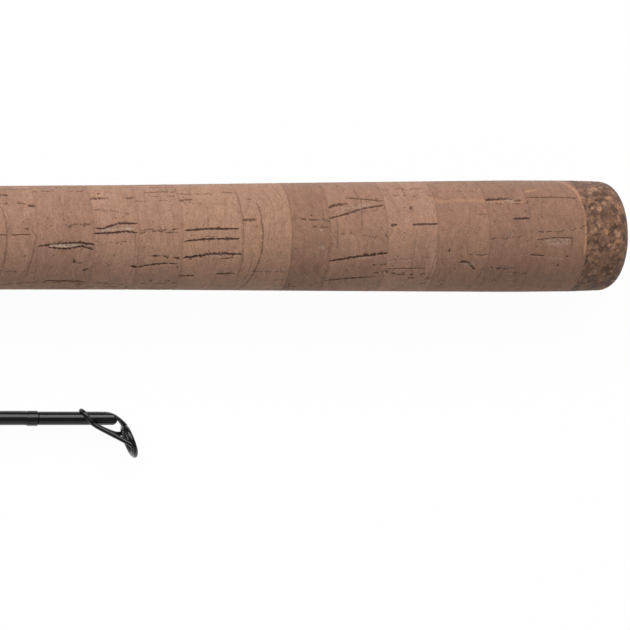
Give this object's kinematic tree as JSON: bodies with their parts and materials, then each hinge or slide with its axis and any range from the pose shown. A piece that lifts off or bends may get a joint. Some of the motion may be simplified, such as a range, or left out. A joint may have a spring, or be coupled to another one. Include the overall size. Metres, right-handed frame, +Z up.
{
  "type": "spinning rod",
  "caption": "Two-piece spinning rod, taken apart: cork-grip butt section with reel seat and stripper guide, and tip section with line guides and tip-top, side by side.",
  "frame": {"origin": "centre of the flat end of the butt cap", "axes": "+X out of the butt end along the butt section's axis, +Y the way the reel foot's bed and the stripper guide face, +Z up from the table the rod lies on"},
  "size_m": [1.1375, 0.0934, 0.028],
  "materials": {
    "cork": "natural cork, sanded, unsealed, with dark pits and growth lines",
    "composite_cork": "composite cork of brown, tan and dark granules, sanded",
    "carbon_blank": "carbon fibre tube under clear gloss lacquer",
    "thread_wrap": "black thread under clear gloss epoxy",
    "guide_frame": "gloss black coated stainless steel",
    "ceramic_ring": "polished dark grey ceramic",
    "reel_seat": "satin black moulded plastic",
    "hood": "dark anodised shell, satin",
    "hood_liner": "black moulded plastic",
    "lock_nut": "black moulded plastic with a fluted grip",
    "trim_metal": "dark grey anodised, turned",
    "arbor": "plain plastic foam, hidden inside the seat"
  },
  "bodies": {
    "butt_section": {"butt_cap": "composite_cork", "rear_cork_01": "cork", "rear_cork_02": "cork", "rear_cork_03": "cork", "rear_cork_04": "cork", "rear_cork_05": "cork", "rear_cork_06": "cork", "rear_cork_07": "cork", "rear_cork_08": "cork", "rear_cork_09": "cork", "rear_cork_10": "cork", "rear_cork_11": "cork", "rear_cork_12": "cork", "rear_cork_13": "cork", "rear_cork_14": "cork", "rear_cork_15": "cork", "rear_cork_16": "cork", "rear_trim_ring": "trim_metal", "reel_seat_body": "reel_seat", "rear_arbor": "arbor", "front_arbor": "arbor", "fixed_hood": "hood", "fixed_hood_liner": "hood_liner", "fore_cork_1": "cork", "fore_cork_2": "cork", "fore_cork_3": "cork", "fore_trim_ring": "composite_cork", "winding_check": "trim_metal", "butt_blank": "carbon_blank", "hook_keeper": "guide_frame", "hook_keeper_wrap": "thread_wrap", "stripper_frame": "guide_frame", "stripper_ring": "ceramic_ring", "stripper_rear_wrap": "thread_wrap", "stripper_front_wrap": "thread_wrap"},
    "moving_hood": {"moving_hood": "hood", "moving_hood_liner": "hood_liner"},
    "lock_nut": {"lock_nut": "lock_nut"},
    "tip_section": {"tip_blank": "carbon_blank", "ferrule_wrap": "thread_wrap", "guide16_frame": "guide_frame", "guide16_ring": "ceramic_ring", "guide16_rear_wrap": "thread_wrap", "guide16_front_wrap": "thread_wrap", "guide12_frame": "guide_frame", "guide12_ring": "ceramic_ring", "guide12_wrap": "thread_wrap", "guide10_frame": "guide_frame", "guide10_ring": "ceramic_ring", "guide10_wrap": "thread_wrap", "guide8_inner_frame": "guide_frame", "guide8_inner_ring": "ceramic_ring", "guide8_inner_wrap": "thread_wrap", "guide8_outer_frame": "guide_frame", "guide8_outer_ring": "ceramic_ring", "guide8_outer_wrap": "thread_wrap", "tip_top_frame": "guide_frame", "tip_top_ring": "ceramic_ring", "tip_top_wrap": "thread_wrap"}
  },
  "joints": [
    {"name": "moving_hood_slide", "type": "slide", "parent": "butt_section", "child": "moving_hood", "axis": [1, 0, 0], "range_m": [0, 0.018]},
    {"name": "lock_nut_turn", "type": "hinge", "parent": "moving_hood", "child": "lock_nut", "pos_m": [-0.3216, 0, 0], "axis": [1, 0, 0], "range_deg": [0, 1620]},
    {"name": "tip_section_slide", "type": "slide", "parent": "butt_section", "child": "tip_section", "axis": [-0.9997, 0.0227, 0.0067], "range_m": [0, 0.065]}
  ],
  "couplings": [
    {"joint": "moving_hood_slide", "follows": "lock_nut_turn", "m_per_rad": 0.0006366}
  ]
}
